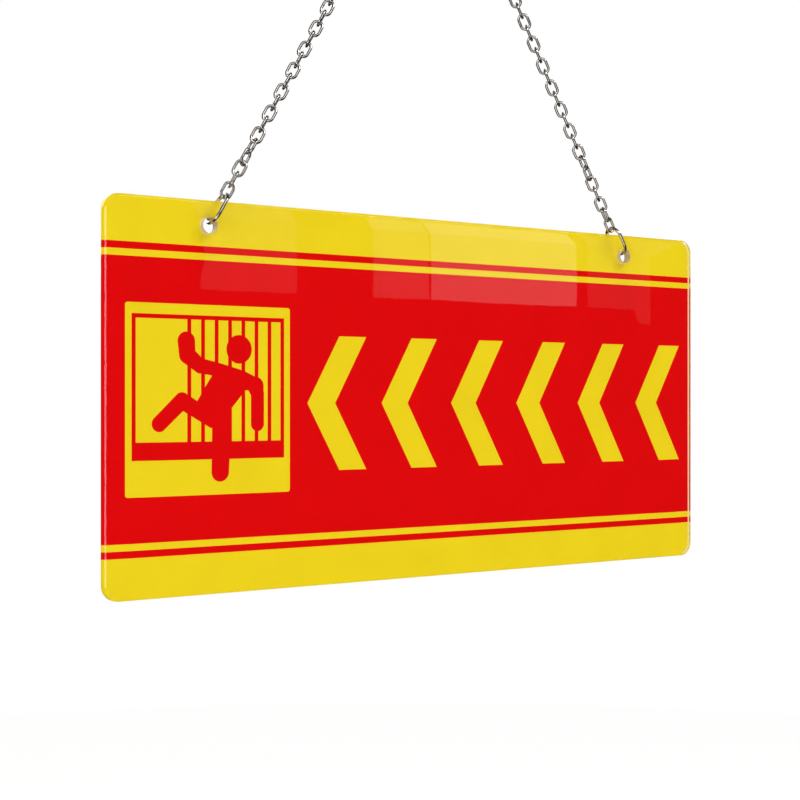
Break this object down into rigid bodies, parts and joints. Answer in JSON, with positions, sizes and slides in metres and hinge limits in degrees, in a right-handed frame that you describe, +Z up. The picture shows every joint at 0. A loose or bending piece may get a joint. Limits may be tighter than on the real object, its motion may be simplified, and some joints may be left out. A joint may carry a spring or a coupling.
{
  "type": "hanging safety sign",
  "caption": "Clear acrylic hanging sign printed in red and yellow with a rescue window symbol and chevrons, hung by two oval rings and a thin steel chain over a hook.",
  "frame": {"origin": "the point where the hook bears, on the underside of the hooked link's upper side, above the middle of the board", "axes": "+Z up, +X along the board to the right as seen from the printed face, -Y out of the printed face"},
  "size_m": [0.3, 0.01, 0.3237],
  "materials": {
    "clear_acrylic": "polished, clear",
    "red_ink": "smooth ink seen through the acrylic",
    "yellow_ink": "smooth ink, satin at the back",
    "ring_steel": "polished",
    "chain_steel": "polished"
  },
  "bodies": {
    "hook_link": {"hooked_link": "chain_steel"},
    "left_leg": {"left_links_1": "chain_steel", "left_links_2": "chain_steel", "left_links_3": "chain_steel", "left_links_4": "chain_steel", "left_links_5": "chain_steel", "left_links_6": "chain_steel", "left_links_7": "chain_steel", "left_links_8": "chain_steel", "left_links_9": "chain_steel", "left_links_10": "chain_steel", "left_links_11": "chain_steel", "left_links_12": "chain_steel", "left_links_13": "chain_steel", "left_links_14": "chain_steel", "left_links_15": "chain_steel", "left_links_16": "chain_steel", "left_links_17": "chain_steel", "left_links_18": "chain_steel", "left_links_19": "chain_steel"},
    "right_leg": {"right_links_1": "chain_steel", "right_links_2": "chain_steel", "right_links_3": "chain_steel", "right_links_4": "chain_steel", "right_links_5": "chain_steel", "right_links_6": "chain_steel", "right_links_7": "chain_steel", "right_links_8": "chain_steel", "right_links_9": "chain_steel", "right_links_10": "chain_steel", "right_links_11": "chain_steel", "right_links_12": "chain_steel", "right_links_13": "chain_steel", "right_links_14": "chain_steel", "right_links_15": "chain_steel", "right_links_16": "chain_steel", "right_links_17": "chain_steel", "right_links_18": "chain_steel", "right_links_19": "chain_steel"},
    "left_ring": {"left_ring": "ring_steel"},
    "right_ring": {"right_ring": "ring_steel"},
    "board": {"acrylic_board": "clear_acrylic", "red_print": "red_ink", "yellow_coat": "yellow_ink"}
  },
  "joints": [
    {"name": "chain_swing", "type": "hinge", "parent": "hook_link", "child": "left_leg", "pos_m": [-0.00231, 0, -0.00313], "axis": [1, 0, 0], "range_deg": [-60, 60]},
    {"name": "right_leg_swing", "type": "hinge", "parent": "hook_link", "child": "right_leg", "pos_m": [0.00231, 0, -0.00313], "axis": [1, 0, 0], "range_deg": [-60, 60]},
    {"name": "ring_swing", "type": "hinge", "parent": "left_leg", "child": "left_ring", "pos_m": [-0.10042, 0, -0.17078], "axis": [1, 0, 0], "range_deg": [-45, 45]},
    {"name": "right_ring_swing", "type": "hinge", "parent": "right_leg", "child": "right_ring", "pos_m": [0.10042, 0, -0.17078], "axis": [1, 0, 0], "range_deg": [-45, 45]},
    {"name": "board_tilt", "type": "hinge", "parent": "left_ring", "child": "board", "pos_m": [-0.10413, 0, -0.17713], "axis": [1, 0, 0], "range_deg": [-20, 20]}
  ],
  "couplings": [
    {"joint": "right_leg_swing", "follows": "chain_swing", "ratio": 1},
    {"joint": "right_ring_swing", "follows": "ring_swing", "ratio": 1}
  ]
}
